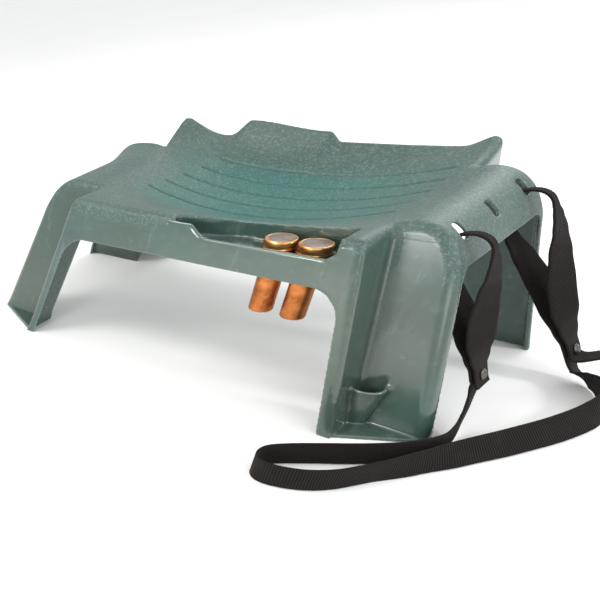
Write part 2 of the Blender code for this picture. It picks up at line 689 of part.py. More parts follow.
def build_strap():
    webbing = material("strap_webbing", colour=(0.035, 0.028, 0.026), roughness=0.85)
    nickel = material("rivet_metal", colour=(0.30, 0.28, 0.26), roughness=0.35,
                      metallic=0.9)
    keys, front_normal, rear_normal = strap_keys()
    strap = ribbon("strap_webbing", ribbon_sections(keys), webbing)
    r, seat_z = RIVET_R, LAYER + STRAP_T / 2 + 0.0005      # underside of a rivet head
    rivet = [(0.0, -seat_z - 0.0014), (r - 0.0010, -seat_z - 0.0012),
             (r, -seat_z - 0.0004), (r, -seat_z), (RIVET_SHANK_R, -seat_z),
             (RIVET_SHANK_R, seat_z), (r, seat_z), (r, seat_z + 0.0004),
             (r - 0.0010, seat_z + 0.0012), (0.0, seat_z + 0.0016)]
    for tag, place, normal in (("front", RIVET_FRONT, front_normal),
                               ("rear", RIVET_REAR, rear_normal)):
        hole = cylinder("rivet_hole_" + tag, RIVET_HOLE_R, RIVET_HOLE_R, -0.02, 0.02,
                        0, 0, segments=20)
        hole.rotation_mode = 'QUATERNION'
        hole.rotation_quaternion = UP.rotation_difference(normal)
        hole.location = place
        hole.scale = (1, 1, 0.28)
        boolean(strap, hole)
        turned("strap_rivet_" + tag, rivet, place, nickel, RIVET_SEGMENTS, normal)
    bake(strap)


def hang_strap():
    """Parent the strap and its rivets to an empty on the bar they swing about."""
    pivot = bpy.data.objects.new("strap_pivot", None)
    bpy.context.scene.collection.objects.link(pivot)
    pivot.location = BAR
    for ob in list(parts.objects):
        if ob.name.startswith("strap_"):
            ob.parent = pivot
            ob.location = ob.location - BAR
    return pivot


# ------------------------------------------------------------------- assembly
build_seat()
build_pegs()
build_strap()
strap_pivot = hang_strap()

for ob in list(parts.objects) + [strap_pivot]:
    if ob.parent is None:
        ob.location = ob.location + SHIFT

for ob in cutters.objects:
    ob.hide_render = True
    ob.display_type = 'WIRE'
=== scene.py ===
"""Looks of the garden kneeler seat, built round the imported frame."""
import math

import bmesh
import bpy
import numpy as np
from mathutils import Matrix, Vector


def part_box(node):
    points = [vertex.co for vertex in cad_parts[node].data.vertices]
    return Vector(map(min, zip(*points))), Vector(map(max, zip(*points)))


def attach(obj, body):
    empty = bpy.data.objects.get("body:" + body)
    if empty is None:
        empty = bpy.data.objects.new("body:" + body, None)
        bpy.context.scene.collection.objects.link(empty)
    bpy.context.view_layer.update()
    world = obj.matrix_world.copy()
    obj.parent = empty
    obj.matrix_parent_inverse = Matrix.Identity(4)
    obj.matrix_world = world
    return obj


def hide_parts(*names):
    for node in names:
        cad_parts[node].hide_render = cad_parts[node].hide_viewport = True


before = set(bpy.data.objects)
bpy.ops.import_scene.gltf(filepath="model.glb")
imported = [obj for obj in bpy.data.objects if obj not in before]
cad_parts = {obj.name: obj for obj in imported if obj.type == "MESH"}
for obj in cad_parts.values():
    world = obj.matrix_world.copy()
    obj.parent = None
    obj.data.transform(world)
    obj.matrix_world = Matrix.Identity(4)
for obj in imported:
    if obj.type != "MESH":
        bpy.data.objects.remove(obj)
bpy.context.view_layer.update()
_lo, _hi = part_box("seat_body")
# the point the sizes below are stated about: right foot edge less 0.235, rear foot edge less 0.156
MID = Vector((_hi.x - 0.235, _hi.y - 0.156, 0.0))
COL = bpy.context.scene.collection

# ------------------------------------------------- sizes, as the CAD has them
WALL = 0.0034
Z_REF = 0.180
X_MID, X_MID_FOOT = 0.142, 0.179
X_END, X_END_FOOT = 0.188, 0.235
Y_END, Y_END_FOOT = 0.132, 0.156
Y_MID, Y_MID_FOOT = 0.081, 0.116
Z_SEAT, DISH_RISE, X_SHOULDER = 0.145, 0.034, 0.150
Z_RIM, Z_PANEL, Z_APRON = 0.141, 0.145, 0.133
LIP_R, LEG_FLANGE = 0.0075, 0.0085
WING, REAR_WING = 0.020, 0.034

GROOVES = [(-0.022, -0.115, 0.121), (0.005, -0.111, 0.122), (0.032, -0.106, 0.124),
           (0.058, -0.100, 0.125), (0.083, -0.094, 0.126)]
SLOT_Y = [-0.060, 0.0, 0.060]
SLOT_ALONG, SLOT_DOWN, SLOT_S = 0.0100, 0.0165, 0.52
TRAY_X0, TRAY_X1, TRAY_Y0, TRAY_Y1 = -0.022, 0.126, -0.1300, -0.0940
TRAY_FLOOR, TRAY_LIP = 0.1500, 0.1585
PEG_X, PEG_Y = [0.0735, 0.1020], -0.1110
PEG_R, PEG_CAP_R, PEG_HOLE_R, PEG_LEN, PEG_CAP_H = 0.0103, 0.0134, 0.0109, 0.062, 0.0125
PEG_Z = TRAY_FLOOR + 0.0004
STRAP_W, STRAP_T = 0.024, 0.0022
VOXEL = 0.0012


def smooth(a, b, v):
    t = np.clip((v - a) / (b - a), 0.0, 1.0)
    return t * t * (3 - 2 * t)


def reach(x, y):
    """The left wing is longer than the right one, most of all towards the rear."""
    rear = smooth(0.100, X_MID, -x) * smooth(0.0, Y_END, y)
    return -WING * smooth(X_MID, 0.172, -x) - REAR_WING * rear


def splay(x, y, z):
    def run(v, a, b, af, bf):
        s, v = (1, v) if v >= 0 else (-1, -v)
        foot = v * af / a if v <= a else af + (v - a) * (bf - af) / (b - a)
        return s * (foot + (v - foot) * z / Z_REF)
    return (run(x, X_MID, X_END, X_MID_FOOT, X_END_FOOT) + reach(x, y),
            run(y, Y_MID, Y_END, Y_MID_FOOT, Y_END_FOOT), z)


def unsplay(v, z, a, b, af, bf):
    """Plan coordinate at Z_REF of points at height z (arrays)."""
    k = z / Z_REF
    s, v = np.sign(v), np.abs(v)
    edge_highlight_and_wear = af * (1 - k) + a * k
    low = v / (af / a * (1 - k) + k)
    high = a + (v - edge_highlight_and_wear) / ((bf - af) / (b - a) * (1 - k) + k)
    return s * np.where(v <= edge_highlight_and_wear, low, high)


def rear_edge(x):
    z = 0.186
    z = z + 0.024 * (1 - smooth(-0.142, -0.110, x))
    z = z + (0.022 - 0.010 * smooth(-0.090, -0.004, x)) * (
        smooth(-0.108, -0.091, x) - smooth(-0.003, 0.010, x))
    return z + 0.013 * smooth(0.113, 0.139, x)


def dish(x, y=0.0):
    q = (np.minimum(np.abs(x), X_SHOULDER) / X_SHOULDER) ** 2
    flat = 0.85 * smooth(0.020, Y_END - 0.004, -y)
    return Z_SEAT + DISH_RISE * (q + (1 - q) * flat)


def seat_top(x, y):
    z = dish(x, y)
    t = np.clip((y - 0.005) / (Y_END - 0.005), 0.0, 1.0)
    lift = rear_edge(x) - z
    broad = 0.80 * (0.186 + 0.010 * smooth(0.07, 0.14, np.abs(x)) - z)
    return z + broad * t ** 1.9 + (lift - broad) * t ** 7


def shoulder(s):
    p0 = Vector((X_SHOULDER, float(dish(X_SHOULDER))))
    p3 = Vector((X_END, Z_RIM))
    p1 = p0 + Vector((0.024, 0.0065))
    p2 = p3 + Vector((-0.002, 0.026))
    a, b, c, d = (1 - s) ** 3, 3 * s * (1 - s) ** 2, 3 * s * s * (1 - s), s ** 3
    p = p0 * a + p1 * b + p2 * c + p3 * d
    t = (p1 - p0) * (1 - s) ** 2 + (p2 - p1) * 2 * s * (1 - s) + (p3 - p2) * s * s
    return p, Vector((-t.y, t.x)).normalized()


# -------------------------------------------------------------- mesh helpers
def add_object(name, bm):
    me = bpy.data.meshes.new(name)
    bmesh.ops.recalc_face_normals(bm, faces=bm.faces)
    bm.to_mesh(me)
    bm.free()
    ob = bpy.data.objects.new(name, me)
    COL.objects.link(ob)
    return ob


def boolean(ob, tool, op, solver='EXACT'):
    m = ob.modifiers.new(op.lower(), 'BOOLEAN')
    m.operation, m.solver, m.object = op, solver, tool


def bake(ob, *tools):
    dg = bpy.context.evaluated_depsgraph_get()
    dg.update()
    me = bpy.data.meshes.new_from_object(ob.evaluated_get(dg))
    ob.modifiers.clear()
    ob.data = me
    for t in tools:
        bpy.data.objects.remove(t, do_unlink=True)
    return ob


def plan_inset(x, y, x1, y1, y2):
    x, y = abs(x), abs(y)
    if y <= y1:
        if x >= x1:
            return y1 - y
        return min(y2 - y, math.hypot(x1 - x, y1 - y) if x < x1 else 1.0)
    return min(x1 - x, y2 - y)


def drape(name, inset, z_foot, xs, ys, shoulder_steps):
    """Closed body: the seat's top surface with its walls run down to z_foot."""
    x1, y1, y2 = X_MID - inset, Y_MID - inset, Y_END - inset
    r = max(LIP_R - inset, 0.0030)
    cols = [("d", x) for x in xs]
    steps = [("s", k / shoulder_steps) for k in range(1, shoulder_steps + 1)]
    cols = [("s-", s) for _, s in reversed(steps)] + cols + steps
    bm = bmesh.new()
    plan, grid = {}, []
    for kind, c in cols:
        row = []
        for y in ys:
            if kind == "d":
                x, z, n = c, float(seat_top(c, y)), Vector((0.0, 1.0))
                if abs(c) > X_SHOULDER - 1e-9:
                    n = Vector((math.copysign(shoulder(0)[1].x, c), shoulder(0)[1].y))
            else:
                sgn = -1 if kind == "s-" else 1
                p, n = shoulder(c)
                n = Vector((sgn * n.x, n.y))
                x = sgn * p.x
                lift = float(seat_top(sgn * X_SHOULDER, y) - dish(X_SHOULDER))
                z = p.y + lift * (1 - c) ** 1.5
            d = plan_inset(x, y, x1, y1, y2)
            drop = inset
            if d < r:
                drop += r - math.sqrt(max(0.0, r * r - (r - max(d, 0.0)) ** 2))
            x -= n.x * drop
            z -= n.y * drop
            row.append(bm.verts.new(splay(x, y, z)))
            plan[row[-1]] = (x, y)
        grid.append(row)
    for i in range(len(cols) - 1):
        for j in range(len(ys) - 1):
            ya = max(abs(ys[j]), abs(ys[j + 1]))
            outer = (cols[i][0] != "d" or cols[i + 1][0] != "d"
                     or max(abs(cols[i][1]), abs(cols[i + 1][1])) > x1 + 1e-6)
            if outer and ya > y1 + 1e-6:
                continue
            bm.faces.new((grid[i][j], grid[i + 1][j],
                          grid[i + 1][j + 1], grid[i][j + 1]))
    for v in [v for v in bm.verts if not v.link_faces]:
        plan.pop(v)
        bm.verts.remove(v)
    rim = [e for e in bm.edges if len(e.link_faces) == 1]
    foot = {}
    for e in rim:
        for v in e.verts:
            if v not in foot:
                foot[v] = bm.verts.new(splay(*plan[v], z_foot))
    wall_edges = []
    for e in rim:
        a, b = e.link_loops[0].vert, e.link_loops[0].link_loop_next.vert
        bm.faces.new((b, a, foot[a], foot[b]))
        wall_edges.append((foot[a], foot[b]))
    nxt = dict(wall_edges)
    start = wall_edges[0][0]
    loop, v = [start], nxt[start]
    while v is not start:
        loop.append(v)
        v = nxt[v]
    bm.faces.new(loop)
    return add_object(name, bm)


def rows(edge_highlight_and_wear, r, inward, n):
    return [edge_highlight_and_wear + inward * r * (1 - math.cos(math.pi / 2 * k / n)) for k in range(n + 1)]


def lines(inset, step, n):
    x1, y1, y2 = X_MID - inset, Y_MID - inset, Y_END - inset
    r = max(LIP_R - inset, 0.0030)

    def fill(marks, limit):
        """Marks plus an even run between them."""
        marks = sorted(set(round(m, 7) for m in marks))
        out = []
        for a, b in zip(marks, marks[1:]):
            k = max(1, round((b - a) / step))
            out += [a + (b - a) * j / k for j in range(k)]
        return out + [marks[-1]]
    xs = rows(x1, r, -1, n) + rows(-x1, r, 1, n) + [X_SHOULDER, -X_SHOULDER, 0.0]
    ys = (rows(y2, r, -1, n) + rows(-y2, r, 1, n) + rows(y1, r, -1, n)
          + rows(-y1, r, 1, n) + [0.0])
    return fill(xs, x1), fill(ys, y2)


def prism(name, outline, axis, lo, hi):
    bm = bmesh.new()

    def put(p, t):
        a, b = p
        return {"x": (t, a, b), "y": (a, t, b), "z": (a, b, t)}[axis]
    face = bm.faces.new([bm.verts.new(put(p, lo)) for p in outline])
    ret = bmesh.ops.extrude_face_region(bm, geom=[face])
    vec = {"x": (hi - lo, 0, 0), "y": (0, hi - lo, 0), "z": (0, 0, hi - lo)}[axis]
    bmesh.ops.translate(bm, vec=vec,
                        verts=[v for v in ret["geom"] if isinstance(v, bmesh.types.BMVert)])
    return add_object(name, bm)


def frustum(name, r0, r1, z0, z1, x, y, seg=64):
    bm = bmesh.new()
    bmesh.ops.create_cone(bm, cap_ends=True, segments=seg, radius1=r0, radius2=r1,
                          depth=z1 - z0, matrix=Matrix.Translation((x, y, (z0 + z1) / 2)))
    return add_object(name, bm)


def portal(half, half_foot, z_top, radius, n=20):
    def w(z):
        return half_foot + (half - half_foot) * z / Z_REF
    pts = [(w(-0.02), -0.02)]
    zc = z_top - radius
    lean = (w(zc) - w(zc - 0.01)) / 0.01
    for k in range(n + 1):
        a = math.pi / 2 * k / n
        x = (w(zc) - radius + radius * math.cos(a)
             + lean * radius * math.sin(a) * 0.5 * (1 - k / n))
        pts.append((x, zc + radius * math.sin(a)))
    return pts + [(-x, z) for x, z in reversed(pts)]


# ------------------------------------------------------------ the seat's body
def build_seat():
    body = drape("seat_shell", 0.0, 0.0, *lines(0.0, 0.0032, 7), 22)
    cavity = drape("cavity", WALL, -0.012, *lines(WALL, 0.0055, 4), 14)
    keep = prism("keep", [(TRAY_X0 - 0.004, -0.160), (TRAY_X1 + 0.004, -0.160),
                          (TRAY_X1 + 0.004, TRAY_Y1 + WALL),
                          (0.026, TRAY_Y1 + WALL), (TRAY_X0 - 0.004, -0.1115)],
                 "z", TRAY_FLOOR - WALL, 0.30)
    boolean(cavity, keep, 'DIFFERENCE')
    bake(cavity, keep)
    tools = [cavity]
    tools.append(prism("p0", portal(X_MID - WALL - LEG_FLANGE,
                                    X_MID_FOOT - WALL - LEG_FLANGE, Z_APRON, 0.030),
                       "y", -0.30, 0.30))
    for lo, hi in ((-0.40, -0.158), (0.158, 0.40)):
        tools.append(prism("p1", portal(Y_MID - WALL - LEG_FLANGE,
                                        Y_MID_FOOT - WALL - LEG_FLANGE, Z_PANEL, 0.012),
                           "x", lo, hi))
    tools.append(prism("tray", [(TRAY_X0 + 0.004, TRAY_Y0), (TRAY_X1 - 0.003, TRAY_Y0),
                                (TRAY_X1, TRAY_Y0 + 0.004), (TRAY_X1, TRAY_Y1 - 0.004),
                                (TRAY_X1 - 0.004, TRAY_Y1), (0.044, TRAY_Y1),
                                (0.026, TRAY_Y1 - 0.003), (0.006, -0.1060),
                                (TRAY_X0 + 0.004, -0.1170), (TRAY_X0, -0.1225)],
                       "z", TRAY_FLOOR, 0.30))
    tools.append(prism("lip", [(0.002, TRAY_LIP + 0.012), (0.012, TRAY_LIP + 0.002),
                               (0.020, TRAY_LIP), (TRAY_X1 - 0.006, TRAY_LIP),
                               (TRAY_X1, TRAY_LIP + 0.006), (TRAY_X1, 0.30), (0.002, 0.30)],
                       "y", -0.20, TRAY_Y0 + 0.001))
    for x in PEG_X:
        tools.append(frustum("hole", PEG_HOLE_R, PEG_HOLE_R, 0.13, 0.17, x, PEG_Y))
    for side in (-1, 1):
        for y in SLOT_Y:
            p, n = shoulder(SLOT_S)
            bm = bmesh.new()
            bmesh.ops.create_cube(bm, size=1.0)
            bmesh.ops.scale(bm, vec=(0.030, SLOT_ALONG, SLOT_DOWN), verts=bm.verts)
            bmesh.ops.bevel(bm, geom=[e for e in bm.edges
                                      if abs(e.verts[0].co.x - e.verts[1].co.x) > 0.01],
                            offset=0.0034, segments=6, affect='EDGES', profile=0.5)
            ob = add_object("slot", bm)
            ob.location = (splay(side * p.x, y, p.y)[0], y, p.y)
            ob.rotation_euler = (0, -math.atan2(n.y, n.x) if side > 0
                                 else math.atan2(n.y, n.x), 0)
            tools.append(ob)
    for t in tools:
        boolean(body, t, 'DIFFERENCE', 'MANIFOLD')
    bake(body, *tools)
    adds, subs = [], []
    for sx in (-1, 1):
        for sy in (-1, 1):
            a = splay(sx * (X_MID - 0.002), sy * (Y_MID - 0.002), 0.0)
            b = splay(sx * (X_MID - 0.002), sy * (Y_END - 0.0015), 0.0)
            c = splay(sx * (X_END - 0.0015), sy * (Y_MID - 0.002), 0.0)
            adds.append(prism("web", [a[:2], b[:2], c[:2]], "z", 0.0, 0.0032))
    cx, cy, _ = splay(X_MID + 0.004, -(Y_MID + 0.004), 0.02)
    side = prism("side", [splay(X_MID - 0.001, -(Y_MID - 0.001), 0.03)[:2],
                          (0.26, -(Y_MID - 0.001) - 0.012), (0.26, -0.20),
                          (splay(X_MID - 0.001, 0, 0.03)[0], -0.20)], "z", -0.01, 0.10)
    p_out = frustum("pocket", 0.0105, 0.0147, 0.0008, 0.0415, cx - 0.001, cy + 0.001)
    p_in = frustum("pocket_in", 0.0086, 0.0128, 0.0103, 0.0492, cx - 0.001, cy + 0.001)
    boolean(p_out, side, 'INTERSECT')
    boolean(p_in, side, 'INTERSECT')
    bake(p_out)
    bake(p_in, side)
    for t in adds + [p_out]:
        boolean(body, t, 'UNION', 'MANIFOLD')
    boolean(body, p_in, 'DIFFERENCE', 'MANIFOLD')
    bake(body, p_in, p_out, *adds)
    return body


def mesh_arrays(me):
    co = np.empty(len(me.vertices) * 3, np.float32)
    me.vertices.foreach_get("co", co)
    ed = np.empty(len(me.edges) * 2, np.int32)
    me.edges.foreach_get("vertices", ed)
    return co.reshape(-1, 3).astype(float), ed.reshape(-1, 2)


def normals_of(me):
    no = np.empty(len(me.vertices) * 3, np.float32)
    me.vertices.foreach_get("normal", no)
    return no.reshape(-1, 3).astype(float)


def relax(co, ed, w, passes):
    """Laplacian smoothing of the points with weight w above zero."""
    near = w > 0
    keep = near[ed[:, 0]] | near[ed[:, 1]]
    e = ed[keep]
    n = len(co)
    deg = np.maximum(np.bincount(e.ravel(), minlength=n), 1)[:, None]
    for f in passes:
        acc = np.empty_like(co)
        for k in range(3):
            acc[:, k] = (np.bincount(e[:, 0], co[e[:, 1], k], n)
                         + np.bincount(e[:, 1], co[e[:, 0], k], n))
        co += (w * f)[:, None] * (acc / deg - co)
    return co


def plan_of(co):
    """Plan coordinates at Z_REF of points on the seat, its left wing allowed for."""
    ys = unsplay(co[:, 1], co[:, 2], Y_MID, Y_END, Y_MID_FOOT, Y_END_FOOT)
    xs = unsplay(co[:, 0], co[:, 2], X_MID, X_END, X_MID_FOOT, X_END_FOOT)
    for _ in range(6):
        xs = 0.5 * xs + 0.5 * unsplay(co[:, 0] - reach(xs, ys), co[:, 2],
                                      X_MID, X_END, X_MID_FOOT, X_END_FOOT)
    return xs, ys


def finish_seat(ob):
    m = ob.modifiers.new("vox", 'REMESH')
    m.mode, m.voxel_size, m.adaptivity, m.use_smooth_shade = 'VOXEL', VOXEL, 0.0, True
    bake(ob)
    me = ob.data
    co, ed = mesh_arrays(me)
    foot = co[:, 2] < 0.0007
    foot_z = co[:, 2].copy()
    one = np.ones(len(co))
    co = relax(co, ed, one, [0.5, -0.52] * 5 + [0.5] * 3)

    xs, ys = plan_of(co)
    xu, yu = np.abs(xs), np.abs(ys)
    # rounder upright corners: outside of the aprons and panels, inside of the niches
    w = np.zeros(len(co))
    for px, py, r in ((X_MID, Y_END, 0.0075), (X_END, Y_MID, 0.0075), (X_MID, Y_MID, 0.0085)):
        d = np.hypot(xu - px, yu - py)
        w = np.maximum(w, 1 - smooth(r * 0.55, r, d))
    w *= smooth(0.004, 0.014, co[:, 2])
    co = relax(co, ed, w, [0.5] * 45)
    # the scooped left end of the tray
    w = (smooth(TRAY_X0 - 0.012, TRAY_X0 - 0.002, xs) - smooth(TRAY_X0 + 0.022, TRAY_X0 + 0.040, xs))
    w *= smooth(-0.140, -0.134, ys) - smooth(-0.092, -0.086, ys)
    w *= smooth(0.1420, 0.1480, co[:, 2])
    co = relax(co, ed, 0.8 * w, [0.5] * 30)
    co[foot, 2] = foot_z[foot]
    me.vertices.foreach_set("co", co.astype(np.float32).ravel())
    me.update()

    no = normals_of(me)
    xs, ys = plan_of(co)
    top = seat_top(xs, ys)
    skin = (1 - smooth(0.0010, 0.0022, np.abs(co[:, 2] - top))) * smooth(0.3, 0.6, no[:, 2])
    skin *= (np.abs(xs) < X_SHOULDER)
    dig = np.zeros(len(co))
    for y, left, right in GROOVES:
        end = np.maximum(np.maximum(xs - right, left - xs) + 0.001, 0.0)
        d = np.hypot(ys - y, end)
        dig = np.maximum(dig, np.exp(-(d / 0.00135) ** 2))
    co -= no * (0.0017 * dig * skin)[:, None]
    me.vertices.foreach_set("co", co.astype(np.float32).ravel())
    me.update()

    # where the mould was textured, and how deep in the bowl a point lies
    drop = top - co[:, 2]
    up = smooth(0.10, 0.35, no[:, 2]) * (drop < 0.012)
    panel = (np.abs(xs) > X_SHOULDER - 0.004) * (np.abs(ys) < Y_MID + 0.001) * \
        smooth(0.128, 0.146, co[:, 2]) * (no[:, 0] * np.sign(xs) > 0.05)
    lip = (np.abs(ys) > Y_END - 0.006) * (drop < 0.018) * (1 - smooth(0.010, 0.018, drop))
    tray = ((xs > TRAY_X0 - 0.002) & (xs < TRAY_X1 + 0.002) & (ys < TRAY_Y1 + 0.0015)
            & (ys > -Y_END - 0.01) & (drop > 0.0035))
    grain = np.clip(np.maximum(up, panel) + lip * (xs < TRAY_X0 - 0.012), 0, 1)
    grain[tray] = 0
    # bowl mask: the plastic's own teal inside, painted sky reflection greying the seat outside it
    bowl_reflection_mask = (np.clip(1 - (np.abs(xs) / 0.135) ** 2.6, 0, 1)
            * smooth(-0.075, -0.03, ys) * (1 - smooth(0.060, 0.105, ys)))
    for name, val in (("grain", grain), ("bowl_reflection_mask", np.clip(bowl_reflection_mask, 0, 1) * up),
                      ("groove_shade_mask", dig * skin)):
        a = me.attributes.new(name, 'FLOAT', 'POINT')
        a.data.foreach_set("value", val.astype(np.float32))
    me.shade_smooth()
    ob.name = "seat_moulding"
    return ob


# ------------------------------------------------------------------ materials
class Nodes:
    """Short hand for building a node tree."""

    def __init__(self, name):
        self.mat = bpy.data.materials.new(name)
        self.mat.use_nodes = True
        self.t = self.mat.node_tree
        self.bsdf = self.t.nodes["Principled BSDF"]

    def add(self, kind, inputs=None, **props):
        n = self.t.nodes.new(kind)
        for k, v in props.items():
            setattr(n, k, v)
        for k, v in (inputs or {}).items():
            self.put(n.inputs[k], v)
        return n

    def put(self, socket, v):
        if isinstance(v, bpy.types.NodeSocket):
            self.t.links.new(v, socket)
        elif isinstance(v, bpy.types.Node):
            self.t.links.new(v.outputs[0], socket)
        else:
            socket.default_value = v

    def math(self, op, a, b=0.0, c=None):
        n = self.add("ShaderNodeMath", operation=op)
        self.put(n.inputs[0], a)
        self.put(n.inputs[1], b)
        if c is not None:
            self.put(n.inputs[2], c)
        return n.outputs[0]

    def noise(self, scale, detail=3.0, rough=0.5, vec=None, **kw):
        n = self.add("ShaderNodeTexNoise", {"Scale": scale, "Detail": detail,
                                            "Roughness": rough}, **kw)
        if vec is not None:
            self.put(n.inputs["Vector"], vec)
        return n.outputs["Fac"]

    def ramp(self, fac, stops):
        n = self.add("ShaderNodeValToRGB")
        e = n.color_ramp.elements
        while len(e) < len(stops):
            e.new(0.5)
        for el, (p, c) in zip(e, stops):
            el.position = p
            el.color = (c, c, c, 1) if isinstance(c, (int, float)) else (*c, 1)
        self.put(n.inputs[0], fac)
        return n.outputs[0]

    def mix(self, fac, a, b, blend='MIX'):
        n = self.add("ShaderNodeMix", data_type='RGBA', blend_type=blend)
        self.put(n.inputs["Factor"], fac)
        for s, v in ((6, a), (7, b)):
            self.put(n.inputs[s], (*v, 1) if isinstance(v, tuple) else v)
        return n.outputs[2]

    def mapped(self, vec, scale, rot=(0, 0, 0)):
        return self.add("ShaderNodeMapping", {"Vector": vec, "Scale": scale,
                                              "Rotation": rot}).outputs[0]

    def bump(self, height, dist, strength=1.0, normal=None):
        n = self.add("ShaderNodeBump", {"Height": height, "Distance": dist,
                                        "Strength": strength})
        if normal is not None:
            self.put(n.inputs["Normal"], normal)
        return n.outputs[0]

    def attr(self, name):
        return self.add("ShaderNodeAttribute", attribute_name=name).outputs["Fac"]


def lin(r, g, b):
    """sRGB 0-255 to linear."""
    return tuple(((c / 255 + 0.055) / 1.055) ** 2.4 if c > 10.3 else c / 255 / 12.92
                 for c in (r, g, b))


def seat_material():
    n = Nodes("moulded_green")
    pos = n.add("ShaderNodeTexCoord").outputs["Object"]
    geo = n.add("ShaderNodeNewGeometry")
    point = geo.outputs["Pointiness"]
    grain, bowl_reflection_mask, groove_shade_mask = n.attr("grain"), n.attr("bowl_reflection_mask"), n.attr("groove_shade_mask")
    cloud = n.noise(14.0, 4.0, 0.55, pos)
    fine = n.noise(120.0, 4.0, 0.6, pos)
    streak = n.noise(60.0, 3.0, 0.6, n.mapped(pos, (1.0, 1.0, 0.09)))
    # body colour: grey green, olive drift, and the plastic's own teal in the bowl; the greyer seat
    # round the bowl is painted sky reflection
    base = n.mix(n.ramp(cloud, [(0.35, 0.0), (0.65, 1.0)]),
                 lin(48, 70, 66), lin(58, 79, 71))
    olive = n.ramp(n.noise(9.0, 3.0, 0.5, n.mapped(pos, (1.0, 1.0, 0.5))), [(0.46, 0.0), (0.66, 1.0)])
    plain = n.math('SUBTRACT', 1.0, grain)
    base = n.mix(n.math('MULTIPLY', n.math('MULTIPLY', olive, plain), 0.55), base, lin(64, 74, 58))
    # painted reflection: teal kept in the bowl, grey green round it standing for the sky's sheen
    base = n.mix(n.math('MULTIPLY', bowl_reflection_mask, 0.92), base, lin(20, 86, 80))
    # pebble: painted highlight on the tops, the hollows between left darker
    peb = n.math('ADD', n.math('MULTIPLY', n.noise(430.0, 2.0, 0.5, pos), 0.62),
                 n.math('MULTIPLY', n.noise(1050.0, 2.0, 0.5, pos), 0.38))
    pebble_top_highlight = n.ramp(peb, [(0.50, 0.0), (0.62, 1.0)])
    # painted highlight: lighter colour on the pebble tops
    base = n.mix(n.math('MULTIPLY', n.math('MULTIPLY', pebble_top_highlight, grain), 0.32), base,
                 lin(120, 145, 136))
    # scuffs and dust
    scuff = n.ramp(streak, [(0.60, 0.0), (0.78, 1.0)])
    base = n.mix(n.math('MULTIPLY', scuff, 0.13), base, lin(130, 148, 140))
    dust = n.ramp(fine, [(0.52, 0.0), (0.75, 1.0)])
    base = n.mix(n.math('MULTIPLY', dust, 0.08), base, lin(126, 138, 124))
    # painted highlight along the edges; painted shade in the corners
    edge_highlight_and_wear = n.ramp(point, [(0.515, 0.0), (0.60, 1.0)])
    # painted highlight: the rounded edges of the seat lighter
    base = n.mix(n.math('MULTIPLY', edge_highlight_and_wear, 0.42), base, lin(160, 180, 171))
    # painted shade: the concave corners darkened
    crevice_shade = n.ramp(point, [(0.40, 1.0), (0.485, 0.0)])
    base = n.mix(n.math('MULTIPLY', crevice_shade, 0.55), base, lin(28, 44, 40))
    # painted shade: the grooves darkened
    base = n.mix(n.math('MULTIPLY', groove_shade_mask, 0.55), base, lin(34, 74, 66))
    n.put(n.bsdf.inputs["Base Color"], base)
    rough = n.math('ADD', n.math('MULTIPLY', grain, 0.26), 0.20)
    rough = n.math('ADD', rough, n.math('MULTIPLY', n.ramp(fine, [(0.3, 0.0), (0.8, 1.0)]), 0.09))
    rough = n.math('ADD', rough, n.math('MULTIPLY', scuff, 0.10))
    n.put(n.bsdf.inputs["Roughness"], rough)
    n.put(n.bsdf.inputs["IOR"], 1.52)
    n.put(n.bsdf.inputs["Coat Weight"], n.math('MULTIPLY', plain, 0.60))
    n.put(n.bsdf.inputs["Coat Roughness"], 0.12)
    n.put(n.bsdf.inputs["Subsurface Weight"], 0.08)
    n.put(n.bsdf.inputs["Subsurface Radius"], (0.4, 1.0, 0.7))
    n.put(n.bsdf.inputs["Subsurface Scale"], 0.003)
    h1 = n.math('MULTIPLY', peb, grain)
    b1 = n.bump(h1, 0.00050, 0.85)
    waves = n.noise(28.0, 2.0, 0.4, n.mapped(pos, (1.0, 1.0, 0.4)))
    b2 = n.bump(waves, 0.0012, 0.22, b1)
    b3 = n.bump(streak, 0.00012, 0.4, b2)
    n.put(n.bsdf.inputs["Normal"], b3)
    return n.mat


def metal_material(name, light, dark, tarnish, rough, turned=True, metallic=0.9):
    n = Nodes(name)
    pos = n.add("ShaderNodeTexCoord").outputs["Object"]
    big = n.noise(70.0, 4.0, 0.6, pos)
    fine = n.noise(900.0, 3.0, 0.6, pos)
    rings = n.noise(40.0, 3.0, 0.65, n.mapped(pos, (1.0, 1.0, 90.0 if turned else 1.0)))
    point = n.add("ShaderNodeNewGeometry").outputs["Pointiness"]
    base = n.mix(n.ramp(big, [(0.35, 0.0), (0.68, 1.0)]), dark, light)
    spots = n.ramp(n.noise(260.0, 5.0, 0.7, pos), [(0.58, 0.0), (0.70, 1.0)])
    base = n.mix(n.math('MULTIPLY', spots, 0.5), base, tarnish)
    # edges lighter: rubbed metal, with a painted highlight along them as well
    edge_highlight_and_wear = n.ramp(point, [(0.52, 0.0), (0.62, 1.0)])
    base = n.mix(n.math('MULTIPLY', edge_highlight_and_wear, 0.5), base,
                 tuple(min(1.0, c * 1.7 + 0.05) for c in light))
    n.put(n.bsdf.inputs["Base Color"], base)
    n.put(n.bsdf.inputs["Metallic"], metallic)
    r = n.math('ADD', rough, n.math('MULTIPLY', n.ramp(rings, [(0.3, 0.0), (0.7, 1.0)]), 0.16))
    r = n.math('ADD', r, n.math('MULTIPLY', spots, 0.2))
    n.put(n.bsdf.inputs["Roughness"], r)
    b = n.bump(rings, 0.00012, 0.5)
    n.put(n.bsdf.inputs["Normal"], n.bump(fine, 0.00006, 0.5, b))
    return n.mat


